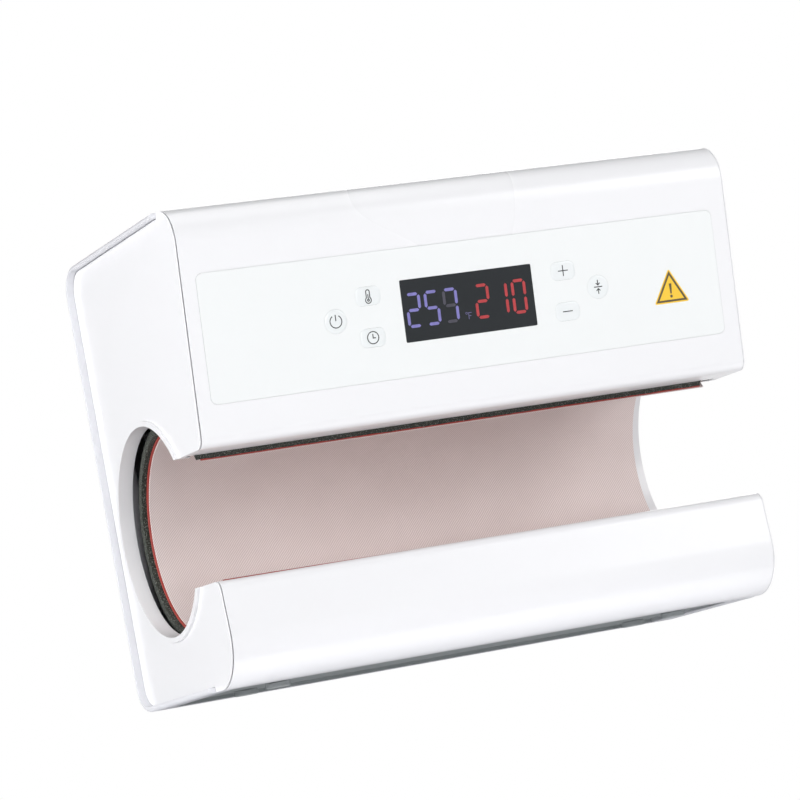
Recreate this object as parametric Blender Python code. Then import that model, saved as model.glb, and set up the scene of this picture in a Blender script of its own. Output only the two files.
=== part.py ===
"""Mug heat press: a long white housing whose mug tunnel is closed by a motor-driven heater mat.

Frame: X runs along the mug tunnel, -Y is the front with the control panel, +Z is up. The origin is
on the surface that the feet stand on, under the middle of the housing. Every size below is in
millimetres, and reaches Blender through MM.
"""

import math

import bmesh
import bpy
from mathutils import Matrix, Vector

MM = 0.001
GAP = 0.3
CLEAR = 2.0
STEP_DEG = 6.0

# Housing
COVER_HALF = 170.0
SHELL_HALF = 172.5
CAP_FACE = 167.5
CAP_PLATE = 2.5
SHELL_WALL = 3.0
COVER_WALL = 2.5
TOP = 262.5
BOTTOM = 0.9
BOTTOM_FRONT = 2.7
BACK = 91.1
BACK_TOP_R = 18.0
BACK_BOTTOM_R = 15.0
TOP_SEAM_Y = -70.0
BOTTOM_SEAM_Y = -30.0

# Upper front cover: a round top edge, a panel that leans forward, and a flat underside
PANEL_LEAN = math.radians(8.55)
BROW_CENTRE = (-72.0, 243.4)
BROW_R = 19.1
CHIN_R = 7.0
CHIN_CENTRE = (-68.6, 138.5)
SLOT_TOP = 131.5
SLOT_TOP_REAR_Y = -44.5

# Lower front cover: the lip below the handle slot
LIP_TOP = 60.6
LIP_CENTRE = (-58.8, 54.6)
LIP_R = 6.0
LIP_REAR_Y = -48.0
TOE_CENTRE = (-38.5, 30.9)
TOE_R = 28.0
LIP_LEAN = 4.2

# Round mug opening in each end cap
RIM_CENTRE = (15.45, 97.8)
RIM_R = 59.6
RIM_WALL = 3.0
RIM_INNER_END = 161.0

# Heater mat: concentric layers round the tunnel, in radius
MAT_CENTRE = (8.6, 95.0)
MAT_R = 56.5
COVER_SHEET = 0.5
HEATER = 1.3
INSULATION = 4.0
PLATE = 2.0
MAT_TOP_DEG = 144.0
MAT_BOTTOM_DEG = -145.0
SHEET_HALF = 155.0
HEATER_HALF = 156.0
INSULATION_HALF = 159.0
PLATE_HALF = 151.7
CRADLE_DEG = (52.0, -141.0)
JAW_PLATE_HALF = 150.0
JAW_PLATE_DEG = (64.5, 142.0)

# Jaw hinge
HINGE_DEG = 60.0
HINGE_R = 70.0
SPLIT_DEG = 1.8
HINGE_ROD_R = 3.0
SLEEVE_R = 5.0
SLEEVE_SPAN = (115.0, 149.0)

# Side frames and what stands between them
FRAME_X = (152.0, 154.0)
FRAME_R = 63.6
FRAME_TOP = 215.0
FRAME_LOW = 4.8
BETWEEN_FRAMES = 151.7
HINGE_ROD_HALF = 157.0

# Screw drive
DRIVE_Y = -20.0
BRACKET_Z = (205.0, 208.0)
BRACKET_HALF_DEPTH = 22.0
BRACKET_HOLE_R = 10.0
MOTOR_R = 18.0
MOTOR_TOP = 255.0
SHAFT_R = 3.0
SHAFT_Z = (197.0, 212.5)
COUPLING_R = 8.0
COUPLING_Z = (188.0, 203.0)
SCREW_R = 4.0
SCREW_Z = (157.5, 196.0)
NUT_HALF = (14.0, 8.0)
NUT_Z = (160.0, 178.0)
TRUNNION_Z = 166.0
TRUNNION_R = 2.0
TRUNNION_HALF = 24.0
LUG_X = (17.0, 21.0)
LUG_TOP = ((-7.0, 172.0), (-33.0, 172.0))
LUG_SLOT_Y = -20.4
LUG_SLOT = (8.0, 5.2)
LUG_SLOT_R = 2.5

# Plain blocks: lowest corner, highest corner and material
BLOCKS = {
    "rear_tie_bar": ((-151.7, 70.0, 196.0), (151.7, 74.0, 210.0), "zinc_steel"),
    "lower_tie_bar": ((-151.7, 60.0, 11.0), (151.7, 72.0, 15.0), "zinc_steel"),
    "thermistor": ((-4.0, 74.6, 90.0), (4.0, 78.0, 100.0), "brass_nut"),
    "electronics_tray": ((-155.0, 16.0, 215.6), (155.0, 76.0, 217.1), "zinc_steel"),
    "power_board": ((-140.0, 20.0, 222.0), (-20.0, 72.0, 223.6), "board_green"),
    "transformer": ((-130.0, 28.0, 223.9), (-84.0, 64.0, 252.0), "winding_yellow"),
    "heater_relay": ((-70.0, 34.0, 223.9), (-42.0, 56.0, 240.0), "part_black"),
    "terminal_block": ((30.0, 30.0, 217.4), (70.0, 50.0, 232.0), "part_black"),
    "open_limit_switch": ((-151.7, -42.0, 168.0), (-144.0, -26.0, 178.0), "part_black"),
    "closed_limit_switch": ((-151.7, 0.0, 168.0), (-144.0, 16.0, 178.0), "part_black"),
}
SPACER_PLACES = ((-134.0, 26.0), (-26.0, 26.0), (-134.0, 66.0), (-26.0, 66.0))
SPACER_R = 3.0
SPACER_Z = (217.4, 223.0)
CUTOUT_PLACE = (-24.0, 30.0)
CUTOUT_R = 6.5
CUTOUT_X = (-34.0, -26.0)

# Control panel, measured from the middle and up the panel from the level of its underside
OVERLAY_HALF = 158.6
OVERLAY_SPAN = (22.4, 93.2)
OVERLAY_THICK = 0.6
OVERLAY_R = 3.7
WINDOW_HALF = 40.5
WINDOW_SPAN = (41.2, 75.8)
WINDOW_THICK = 2.2
WINDOW_R = 0.8
PANEL_CUT = 6.0
MODULE = ((-39.0, -16.0, -11.4), (39.0, 16.0, -3.0))
CONTROL_BOARD = ((-100.0, -20.0, -13.4), (100.0, 20.0, -11.8))
KEY_SWITCH = ((-3.0, -3.0, -12.5), (3.0, 3.0, -5.2))
KEY_THICK = 4.2
KEY_PROUD = 0.2
ROUND_KEY_R = 6.7
PAD_KEY = (15.0, 10.4)
PAD_KEY_R = 3.6
KEYS = {
    "key_power": (-81.0, 58.0, "round"),
    "key_temperature": (-60.2, 69.6, "pad"),
    "key_timer": (-60.2, 46.6, "pad"),
    "key_plus": (60.2, 69.6, "pad"),
    "key_minus": (60.2, 46.6, "pad"),
    "key_clamp": (81.0, 58.0, "round"),
}
BADGE_CENTRE = (127.0, 50.2)
BADGE_R = 13.4
BADGE_CORNER_R = 1.6
BADGE_THICK = 0.6

# Base: a plate set into the open underside of the shell, with a rim along its rear edge
BASE_HALF = 160.0
BASE_REAR_Y = 68.0
BASE_Z = (3.2, 4.5)
BASE_RIM_Z = 1.2
BASE_RIM_WALL = 1.5
FOOT_R = 7.0
FOOT_PLACES = {"front": -12.0, "rear": 40.0}
FOOT_X = 125.0
SCREW_PLACES = {"front": -20.0, "rear": 52.0}
BASE_SCREW_X = 146.0
BASE_SCREW_HEAD = (3.0, 3.3, 4.4)
BASE_SCREW_SHANK = (1.5, 4.0, 9.5)

# Mains inlet in the back wall
INLET_X = 120.0
INLET_Z = 34.0
INLET_BODY = (27.0, 20.0)
INLET_R = 2.0
INLET_SOCKET = (24.0, 16.0)
SOCKET_R = 3.0
INLET_DEPTH = 22.0
SOCKET_DEPTH = 16.0
BLADE = (2.0, 10.0, 4.0)
BLADE_PLACES = ((0.0, 5.0), (-7.0, -4.5), (7.0, -4.5))

COLOURS = {
    "white_shell": ((0.86, 0.86, 0.88), 0.25, 0.0),
    "overlay_film": ((0.84, 0.86, 0.87), 0.18, 0.0),
    "smoked_window": ((0.03, 0.03, 0.04), 0.10, 0.0),
    "badge_yellow": ((0.90, 0.66, 0.05), 0.40, 0.0),
    "mat_sheet": ((0.68, 0.57, 0.55), 0.70, 0.0),
    "silicone_red": ((0.42, 0.06, 0.05), 0.55, 0.0),
    "foam_grey": ((0.06, 0.07, 0.065), 0.95, 0.0),
    "base_grey": ((0.20, 0.21, 0.22), 0.55, 0.0),
    "rubber_foot": ((0.10, 0.10, 0.10), 0.85, 0.0),
    "zinc_steel": ((0.55, 0.56, 0.57), 0.35, 1.0),
    "motor_steel": ((0.45, 0.45, 0.47), 0.30, 1.0),
    "brass_nut": ((0.66, 0.50, 0.22), 0.35, 1.0),
    "board_green": ((0.05, 0.22, 0.10), 0.45, 0.0),
    "part_black": ((0.03, 0.03, 0.03), 0.45, 0.0),
    "winding_yellow": ((0.70, 0.55, 0.15), 0.50, 0.0),
}


def clear_scene():
    for obj in list(bpy.data.objects):
        bpy.data.objects.remove(obj, do_unlink=True)


def make_materials():
    made = {}
    for name, (colour, roughness, metallic) in COLOURS.items():
        material = bpy.data.materials.new(name)
        material.use_nodes = True
        shader = material.node_tree.nodes["Principled BSDF"]
        shader.inputs["Base Color"].default_value = (*colour, 1.0)
        shader.inputs["Roughness"].default_value = roughness
        shader.inputs["Metallic"].default_value = metallic
        made[name] = material
    return made


# ---------------------------------------------------------------- outlines in the (Y, Z) plane


def arc(centre, radius, start, end, step=STEP_DEG):
    """Points along an arc, with angles in degrees from +Y towards +Z."""
    count = max(2, math.ceil(abs(end - start) / step))
    points = []
    for i in range(count + 1):
        angle = math.radians(start + (end - start) * i / count)
        points.append((centre[0] + radius * math.cos(angle), centre[1] + radius * math.sin(angle)))
    return points


def ring_sector(centre, inner, outer, start, end):
    return arc(centre, inner, start, end) + arc(centre, outer, end, start)


def on_circle(centre, radius, degrees):
    angle = math.radians(degrees)
    return (centre[0] + radius * math.cos(angle), centre[1] + radius * math.sin(angle))


def shell_path(inset):
    """Top, back and bottom of the rear shell, from the top seam round to the bottom seam."""
    top_centre = (BACK - BACK_TOP_R, TOP - BACK_TOP_R)
    low_centre = (BACK - BACK_BOTTOM_R, BOTTOM + BACK_BOTTOM_R)
    return (
        [(TOP_SEAM_Y, TOP - inset)]
        + arc(top_centre, BACK_TOP_R - inset, 90, 0)
        + arc(low_centre, BACK_BOTTOM_R - inset, 0, -90)
        + [(BOTTOM_SEAM_Y + GAP, BOTTOM_FRONT + inset)]
    )


def upper_path(inset, top_y=TOP_SEAM_Y - GAP, rear_y=SLOT_TOP_REAR_Y):
    """Upper front cover, from the top seam over the panel to the rear edge of its underside."""
    lean = math.degrees(PANEL_LEAN)
    return (
        [(top_y, TOP - inset)]
        + arc(BROW_CENTRE, BROW_R - inset, 90, 180 + lean)
        + arc(CHIN_CENTRE, CHIN_R - inset, 180 + lean, 270)
        + [(rear_y, SLOT_TOP + inset)]
    )


def lower_path(inset, top_y=LIP_REAR_Y, bottom_y=BOTTOM_SEAM_Y):
    """Lower front cover, from the rear edge of the lip's top round to the bottom seam."""
    return (
        [(top_y, LIP_TOP - inset)]
        + arc(LIP_CENTRE, LIP_R - inset, 90, 180 - LIP_LEAN)
        + arc(TOE_CENTRE, TOE_R - inset, 180 - LIP_LEAN, 270)
        + [(bottom_y, TOE_CENTRE[1] - TOE_R + inset)]
    )


def ribbon(path, wall):
    return path(0.0) + path(wall)[::-1]


def rim_arc(radius):
    low = 180.0 + math.degrees(math.asin((RIM_CENTRE[1] - LIP_TOP) / radius))
    high = 540.0 - math.degrees(math.asin((SLOT_TOP - RIM_CENTRE[1]) / radius))
    return arc(RIM_CENTRE, radius, low, high)


def cap_outline():
    """Face plate of an end cap: it fills the shell and the covers, and is open at the mug tunnel."""
    cover_gap = COVER_WALL + GAP
    shell_gap = SHELL_WALL + GAP
    upper = upper_path(cover_gap, TOP_SEAM_Y, SLOT_TOP_REAR_Y + GAP)
    lower = lower_path(cover_gap, LIP_REAR_Y + GAP, BOTTOM_SEAM_Y + GAP)
    return (
        [(SLOT_TOP_REAR_Y + GAP, SLOT_TOP)]
        + upper[::-1]
        + shell_path(shell_gap)
        + lower[::-1]
        + [(LIP_REAR_Y + GAP, LIP_TOP)]
        + rim_arc(RIM_R + RIM_WALL / 2)
    )


def frame_outline():
    """Steel side frame: a C round the mat, with an arm over it for the drive."""
    return (
        [(-26.0, FRAME_LOW), (76.0, FRAME_LOW), (76.0, FRAME_TOP), (-45.0, FRAME_TOP)]
        + [(-45.0, 166.0), (-6.4, 166.0)]
        + arc(MAT_CENTRE, FRAME_R, 103.6, -141.0)
        + [(-50.0, 52.0), (-50.0, 20.0)]
    )


# ---------------------------------------------------------------- solids


def finish_mesh(name, bm, material, smooth):
    bmesh.ops.recalc_face_normals(bm, faces=bm.faces)
    mesh = bpy.data.meshes.new(name)
    bm.to_mesh(mesh)
    bm.free()
    if smooth:
        mesh.shade_smooth()
        mesh.set_sharp_from_angle(angle=math.radians(32))
    obj = bpy.data.objects.new(name, mesh)
    bpy.context.scene.collection.objects.link(obj)
    if material is not None:
        mesh.materials.append(material)
    return obj


def prism(name, corners, offset, material, smooth=True):
    """A solid swept straight from a flat outline of 3-D corners, all in millimetres."""
    bm = bmesh.new()
    verts = [bm.verts.new(Vector(corner) * MM) for corner in corners]
    face = bm.faces.new(verts)
    swept = bmesh.ops.extrude_face_region(bm, geom=[face])
    moved = [item for item in swept["geom"] if isinstance(item, bmesh.types.BMVert)]
    bmesh.ops.translate(bm, verts=moved, vec=Vector(offset) * MM)
    return finish_mesh(name, bm, material, smooth)


def prism_x(name, outline, x_from, x_to, material):
    corners = [(x_from, y, z) for y, z in outline]
    return prism(name, corners, (x_to - x_from, 0, 0), material)


def plate_z(name, outline, z_from, z_to, material):
    corners = [(x, y, z_from) for x, y in outline]
    return prism(name, corners, (0, 0, z_to - z_from), material)


def box(name, low, high, material):
    (x0, y0, z0), (x1, y1, z1) = low, high
    corners = [(x0, y0, z0), (x1, y0, z0), (x1, y1, z0), (x0, y1, z0)]
    return prism(name, corners, (0, 0, z1 - z0), material, smooth=False)


def circle(centre, radius, count=24):
    points = []
    for i in range(count):
        angle = 2 * math.pi * i / count
        points.append((centre[0] + radius * math.cos(angle), centre[1] + radius * math.sin(angle)))
    return points


def rounded_rectangle(centre, size, radius):
    """Corner points of a rectangle with round corners, in any flat pair of axes."""
    points = []
    for turn, (side_x, side_y) in enumerate(((1, 1), (-1, 1), (-1, -1), (1, -1))):
        corner = (
            centre[0] + side_x * (size[0] / 2 - radius),
            centre[1] + side_y * (size[1] / 2 - radius),
        )
        points += arc(corner, radius, turn * 90, turn * 90 + 90, 15)
    return points


def rod_x(name, centre, radius, x_from, x_to, material, count=24):
    return prism_x(name, circle(centre, radius, count), x_from, x_to, material)


def rod_z(name, centre, radius, z_from, z_to, material, count=24):
    return plate_z(name, circle(centre, radius, count), z_from, z_to, material)


def as_helper(obj):
    obj.hide_render = True
    obj.display_type = "WIRE"


def combine(target, other, operation):
    modifier = target.modifiers.new(other.name, "BOOLEAN")
    modifier.operation = operation
    modifier.solver = "EXACT"
    modifier.object = other
    as_helper(other)


def cut(target, other):
    combine(target, other, "DIFFERENCE")


def add(target, other):
    combine(target, other, "UNION")


# ---------------------------------------------------------------- panel frame


def panel_point(up, out=0.0):
    """World (Y, Z) of a point on the leaning panel."""
    lean = PANEL_LEAN
    foot = on_circle(CHIN_CENTRE, CHIN_R, 180 + math.degrees(lean))
    rise = up - (foot[1] - SLOT_TOP) / math.cos(lean)
    return (
        foot[0] - rise * math.sin(lean) - out * math.cos(lean),
        foot[1] + rise * math.cos(lean) - out * math.sin(lean),
    )


def on_panel(obj, x=0.0, up=0.0, out=0.0):
    """Stands a piece that was made flat, face up, on the panel."""
    y, z = panel_point(up, out)
    obj.location = Vector((x, y, z)) * MM
    obj.rotation_euler = (math.pi / 2 + PANEL_LEAN, 0, 0)
    return obj


def key_outline(shape, grow=0.0):
    if shape == "round":
        return circle((0, 0), ROUND_KEY_R + grow, 28)
    size = (PAD_KEY[0] + 2 * grow, PAD_KEY[1] + 2 * grow)
    return rounded_rectangle((0, 0), size, PAD_KEY_R + grow)


def badge_outline(grow=0.0):
    """An equal-sided triangle, point up, with round corners."""
    points = []
    radius = BADGE_CORNER_R + grow
    for corner in (90, 210, 330):
        centre = on_circle((0, 0), BADGE_R - 2 * BADGE_CORNER_R, corner)
        points += arc(centre, radius, corner - 60, corner + 60, 20)
    return points


def window_cut(name):
    size = (2 * WINDOW_HALF + 2 * GAP, WINDOW_SPAN[1] - WINDOW_SPAN[0] + 2 * GAP)
    tool = plate_z(name, rounded_rectangle((0, 0), size, WINDOW_R + GAP), -PANEL_CUT, CLEAR, None)
    return on_panel(tool, 0, sum(WINDOW_SPAN) / 2)


# ---------------------------------------------------------------- housing


def make_shell(mats):
    wall = ribbon(shell_path, SHELL_WALL)
    shell = prism_x("rear_shell", wall, -SHELL_HALF, SHELL_HALF, mats["white_shell"])
    underside = box(
        "underside_cut",
        (-BASE_HALF, BOTTOM_SEAM_Y - CLEAR, BOTTOM - CLEAR),
        (BASE_HALF, BASE_REAR_Y, BOTTOM_FRONT + SHELL_WALL + CLEAR),
        None,
    )
    size = (INLET_BODY[0] + 2 * GAP, INLET_BODY[1] + 2 * GAP)
    outline = rounded_rectangle((INLET_X, INLET_Z), size, INLET_R + GAP)
    inlet = prism(
        "inlet_cut",
        [(x, BACK - SHELL_WALL - CLEAR, z) for x, z in outline],
        (0, SHELL_WALL + 2 * CLEAR, 0),
        None,
    )
    cut(shell, underside)
    cut(shell, inlet)


def make_caps(mats):
    for side, sign in (("left", -1), ("right", 1)):
        plate = sorted((sign * CAP_FACE, sign * (CAP_FACE - CAP_PLATE)))
        cap = prism_x(f"{side}_end_cap", cap_outline(), *plate, mats["white_shell"])
        rim = rim_arc(RIM_R) + rim_arc(RIM_R + RIM_WALL)[::-1]
        span = sorted((sign * COVER_HALF, sign * RIM_INNER_END))
        add(cap, prism_x(f"{side}_collar", rim, *span, None))


def make_upper_cover(mats):
    wall = ribbon(upper_path, COVER_WALL)
    cover = prism_x("upper_front_cover", wall, -COVER_HALF, COVER_HALF, mats["white_shell"])
    middle = sum(OVERLAY_SPAN) / 2
    size = (2 * OVERLAY_HALF + 2 * GAP, OVERLAY_SPAN[1] - OVERLAY_SPAN[0] + 2 * GAP)
    pocket_outline = rounded_rectangle((0, 0), size, OVERLAY_R + GAP)
    pocket = plate_z("pocket_cut", pocket_outline, -OVERLAY_THICK - GAP, CLEAR, None)
    cut(cover, on_panel(pocket, 0, middle))
    cut(cover, window_cut("display_cut"))
    for name, (x, up, shape) in KEYS.items():
        hole = plate_z(f"{name}_cover_cut", key_outline(shape, GAP), -PANEL_CUT, CLEAR, None)
        cut(cover, on_panel(hole, x, up))


def make_overlay(mats):
    middle = sum(OVERLAY_SPAN) / 2
    size = (2 * OVERLAY_HALF, OVERLAY_SPAN[1] - OVERLAY_SPAN[0])
    outline = rounded_rectangle((0, 0), size, OVERLAY_R)
    overlay = plate_z("control_overlay", outline, -OVERLAY_THICK, 0, mats["overlay_film"])
    on_panel(overlay, 0, middle)
    cut(overlay, window_cut("overlay_display_cut"))
    for name, (x, up, shape) in KEYS.items():
        hole = plate_z(f"{name}_overlay_cut", key_outline(shape, GAP), -PANEL_CUT, CLEAR, None)
        cut(overlay, on_panel(hole, x, up))
    badge_hole = plate_z("badge_cut", badge_outline(GAP), -PANEL_CUT, CLEAR, None)
    cut(overlay, on_panel(badge_hole, *BADGE_CENTRE))
    badge = plate_z("warning_badge", badge_outline(), -BADGE_THICK, 0, mats["badge_yellow"])
    on_panel(badge, *BADGE_CENTRE)


def make_display(mats):
    middle = sum(WINDOW_SPAN) / 2
    size = (2 * WINDOW_HALF, WINDOW_SPAN[1] - WINDOW_SPAN[0])
    outline = rounded_rectangle((0, 0), size, WINDOW_R)
    window = plate_z("display_window", outline, -WINDOW_THICK, 0, mats["smoked_window"])
    on_panel(window, 0, middle)
    module = box("display_module", *MODULE, mats["part_black"])
    on_panel(module, 0, middle)


def make_keys(mats):
    for name, (x, up, shape) in KEYS.items():
        key = plate_z(name, key_outline(shape), -KEY_THICK + KEY_PROUD, KEY_PROUD, mats["overlay_film"])
        on_panel(key, x, up)


def make_control_board(mats):
    """Board behind the panel, with a small push switch under each key."""
    board = box("control_board", *CONTROL_BOARD, mats["board_green"])
    on_panel(board, 0, sum(OVERLAY_SPAN) / 2)
    for name, (x, up, _shape) in KEYS.items():
        switch = box(f"{name}_switch", *KEY_SWITCH, None)
        add(board, on_panel(switch, x, up))


def make_lower_cover(mats):
    prism_x("lower_front_cover", ribbon(lower_path, COVER_WALL), -COVER_HALF, COVER_HALF, mats["white_shell"])


def make_base(mats):
    low, high = BASE_Z
    front, rear = BOTTOM_SEAM_Y + GAP, BASE_REAR_Y - GAP
    outline = [
        (front, low),
        (rear - BASE_RIM_WALL, low),
        (rear - BASE_RIM_WALL, BASE_RIM_Z),
        (rear, BASE_RIM_Z),
        (rear, high),
        (front, high),
    ]
    base = prism_x("base_plate", outline, -BASE_HALF + GAP, BASE_HALF - GAP, mats["base_grey"])
    head_r, *head_z = BASE_SCREW_HEAD
    shank_r, *shank_z = BASE_SCREW_SHANK
    for side, sign in (("left", -1), ("right", 1)):
        for end, y in SCREW_PLACES.items():
            place = (sign * BASE_SCREW_X, y)
            hole = rod_z(f"base_hole_{end}_{side}", place, head_r + GAP, low - CLEAR, high + CLEAR, None, 20)
            cut(base, hole)
            screw = rod_z(f"base_screw_{end}_{side}", place, head_r, *head_z, mats["zinc_steel"], 20)
            add(screw, rod_z(f"base_shank_{end}_{side}", place, shank_r, *shank_z, None, 16))
        for end, y in FOOT_PLACES.items():
            place = (sign * FOOT_X, y)
            rod_z(f"foot_{end}_{side}", place, FOOT_R, 0, low - GAP, mats["rubber_foot"], 28)


def make_inlet(mats):
    """Appliance inlet: a socket open to the back, with three blades."""
    outline = rounded_rectangle((INLET_X, INLET_Z), INLET_BODY, INLET_R)
    inlet = prism(
        "mains_inlet",
        [(x, BACK - INLET_DEPTH, z) for x, z in outline],
        (0, INLET_DEPTH, 0),
        mats["part_black"],
    )
    socket = rounded_rectangle((INLET_X, INLET_Z), INLET_SOCKET, SOCKET_R)
    hollow = prism(
        "inlet_hollow_cut",
        [(x, BACK - SOCKET_DEPTH, z) for x, z in socket],
        (0, SOCKET_DEPTH + CLEAR, 0),
        None,
    )
    cut(inlet, hollow)
    width, length, height = BLADE
    root = BACK - SOCKET_DEPTH
    for i, (dx, dz) in enumerate(BLADE_PLACES):
        x, z = INLET_X + dx, INLET_Z + dz
        low = (x - width / 2, root - CLEAR / 2, z - height / 2)
        high = (x + width / 2, root + length, z + height / 2)
        add(inlet, box(f"inlet_blade_{i}", low, high, None))


# ---------------------------------------------------------------- mat, frames and hinge


def hinge_centre():
    return on_circle(MAT_CENTRE, HINGE_R, HINGE_DEG)


def mat_layers():
    """Name, inner radius, outer radius, half length and material of each layer."""
    layers = []
    radius = MAT_R
    for name, thick, half, material in (
        ("mat_cover", COVER_SHEET, SHEET_HALF, "mat_sheet"),
        ("heater_mat", HEATER, HEATER_HALF, "silicone_red"),
        ("insulation", INSULATION, INSULATION_HALF, "foam_grey"),
    ):
        layers.append((name, radius, radius + thick, half, material))
        radius += thick + GAP
    return layers, radius


def make_mat(mats):
    """Fixed layers behind and below the mug, and the same layers on the jaw above it."""
    layers, plate_r = mat_layers()
    jaw = []
    fixed_start = HINGE_DEG - SPLIT_DEG
    jaw_start = HINGE_DEG + SPLIT_DEG
    for name, inner, outer, half, material in layers:
        fixed = ring_sector(MAT_CENTRE, inner, outer, fixed_start, MAT_BOTTOM_DEG)
        prism_x(f"{name}_fixed", fixed, -half, half, mats[material])
        moving = ring_sector(MAT_CENTRE, inner, outer, jaw_start, MAT_TOP_DEG)
        jaw.append(prism_x(f"{name}_jaw", moving, -half, half, mats[material]))
    cradle = ring_sector(MAT_CENTRE, plate_r, plate_r + PLATE, *CRADLE_DEG)
    prism_x("cradle_plate", cradle, -PLATE_HALF, PLATE_HALF, mats["zinc_steel"])
    jaw.append(make_jaw_plate(mats, plate_r))
    return jaw


def make_jaw_plate(mats, plate_r):
    """Curved plate that carries the upper mat, with a hinge sleeve near each end."""
    sector = ring_sector(MAT_CENTRE, plate_r, plate_r + PLATE, *JAW_PLATE_DEG)
    plate = prism_x("jaw_plate", sector, -JAW_PLATE_HALF, JAW_PLATE_HALF, mats["zinc_steel"])
    centre = hinge_centre()
    for side, sign in (("left", -1), ("right", 1)):
        span = sorted((sign * SLEEVE_SPAN[0], sign * SLEEVE_SPAN[1]))
        web = [
            on_circle(MAT_CENTRE, plate_r + 0.4, 69.0),
            on_circle(MAT_CENTRE, plate_r + 0.8, 64.8),
            (centre[0] - 1.5, centre[1] - 3.6),
            (centre[0] - 2.0, centre[1] + 4.0),
            on_circle(MAT_CENTRE, plate_r + 4.6, 69.0),
        ]
        add(plate, prism_x(f"{side}_hinge_web", web, *span, None))
        add(plate, rod_x(f"{side}_hinge_sleeve", centre, SLEEVE_R, *span, None))
        bore = (span[0] - CLEAR, span[1] + CLEAR)
        cut(plate, rod_x(f"{side}_hinge_bore", centre, HINGE_ROD_R + GAP, *bore, None))
    return plate


def make_frames(mats):
    centre = hinge_centre()
    for side, sign in (("left", -1), ("right", 1)):
        span = sorted((sign * FRAME_X[0], sign * FRAME_X[1]))
        frame = prism_x(f"{side}_side_frame", frame_outline(), *span, mats["zinc_steel"])
        bore = (span[0] - CLEAR, span[1] + CLEAR)
        cut(frame, rod_x(f"{side}_frame_hole", centre, HINGE_ROD_R + GAP, *bore, None))
    rod_x("hinge_rod", centre, HINGE_ROD_R, -HINGE_ROD_HALF, HINGE_ROD_HALF, mats["motor_steel"])
    rod_x("thermal_cutout", CUTOUT_PLACE, CUTOUT_R, *CUTOUT_X, mats["part_black"])


# ---------------------------------------------------------------- drive


def drive_rod(name, radius, span, material):
    """A rod on the screw's axis, or the tool that bores one."""
    return rod_z(name, (0, DRIVE_Y), radius, *span, material)


def make_motor(mats):
    bracket = box(
        "motor_bracket",
        (-BETWEEN_FRAMES, DRIVE_Y - BRACKET_HALF_DEPTH, BRACKET_Z[0]),
        (BETWEEN_FRAMES, DRIVE_Y + BRACKET_HALF_DEPTH, BRACKET_Z[1]),
        mats["zinc_steel"],
    )
    low, high = BRACKET_Z
    cut(bracket, drive_rod("bracket_hole", BRACKET_HOLE_R, (low - CLEAR, high + CLEAR), None))
    motor = rod_z("gearmotor", (0, DRIVE_Y), MOTOR_R, high + GAP, MOTOR_TOP, mats["motor_steel"], 36)
    cut(motor, drive_rod("motor_bore", SHAFT_R + GAP, (low, SHAFT_Z[1] + GAP), None))


def make_screw(mats):
    """Motor shaft, coupling and lead screw, which turn together."""
    shaft = drive_rod("motor_shaft", SHAFT_R, SHAFT_Z, mats["motor_steel"])
    coupling = drive_rod("motor_coupling", COUPLING_R, COUPLING_Z, mats["motor_steel"])
    low, high = COUPLING_Z
    cut(coupling, drive_rod("coupling_low_bore", SCREW_R + GAP, (low - CLEAR, SCREW_Z[1] + GAP), None))
    cut(coupling, drive_rod("coupling_high_bore", SHAFT_R + GAP, (SCREW_Z[1] - CLEAR, high + CLEAR), None))
    screw = drive_rod("lead_screw", SCREW_R, SCREW_Z, mats["motor_steel"])
    return [shaft, coupling, screw]


def make_carriage(mats):
    """Nut block with a trunnion on each side, which slides down the screw."""
    half_x, half_y = NUT_HALF
    low, high = NUT_Z
    corners = (-half_x, DRIVE_Y - half_y, low), (half_x, DRIVE_Y + half_y, high)
    block = box("nut_carriage", *corners, mats["brass_nut"])
    trunnions = rod_x("trunnions", (DRIVE_Y, TRUNNION_Z), TRUNNION_R, -TRUNNION_HALF, TRUNNION_HALF, None)
    add(block, trunnions)
    cut(block, drive_rod("nut_bore", SCREW_R + GAP, (low - CLEAR, high + CLEAR), None))
    return [block]


def make_lugs(mats):
    """Slotted lugs that stand on the jaw plate and take the trunnions."""
    _layers, plate_r = mat_layers()
    foot_r = plate_r + PLATE + GAP
    lugs = []
    for side, sign in (("left", -1), ("right", 1)):
        span = sorted((sign * LUG_X[0], sign * LUG_X[1]))
        outline = arc(MAT_CENTRE, foot_r, 128.0, 102.0) + list(LUG_TOP)
        lug = prism_x(f"{side}_jaw_lug", outline, *span, mats["zinc_steel"])
        slot = rounded_rectangle((LUG_SLOT_Y, TRUNNION_Z), LUG_SLOT, LUG_SLOT_R)
        cut(lug, prism_x(f"{side}_lug_slot", slot, span[0] - CLEAR, span[1] + CLEAR, None))
        lugs.append(lug)
    return lugs


def make_blocks(mats):
    """Tie bars, electronics and switches, and the spacers under the power board."""
    for name, (low, high, material) in BLOCKS.items():
        box(name, low, high, mats[material])
    board = bpy.data.objects["power_board"]
    for i, place in enumerate(SPACER_PLACES):
        add(board, rod_z(f"board_spacer_{i}", place, SPACER_R, *SPACER_Z, None, 12))


def hang_on_axis(name, place, pieces):
    """Parents moving pieces to an empty that lies on their joint's axis."""
    axis = bpy.data.objects.new(name, None)
    axis.location = Vector(place) * MM
    bpy.context.scene.collection.objects.link(axis)
    for piece in pieces:
        piece.parent = axis
        piece.matrix_parent_inverse = Matrix.Translation(-Vector(place) * MM)


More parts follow.
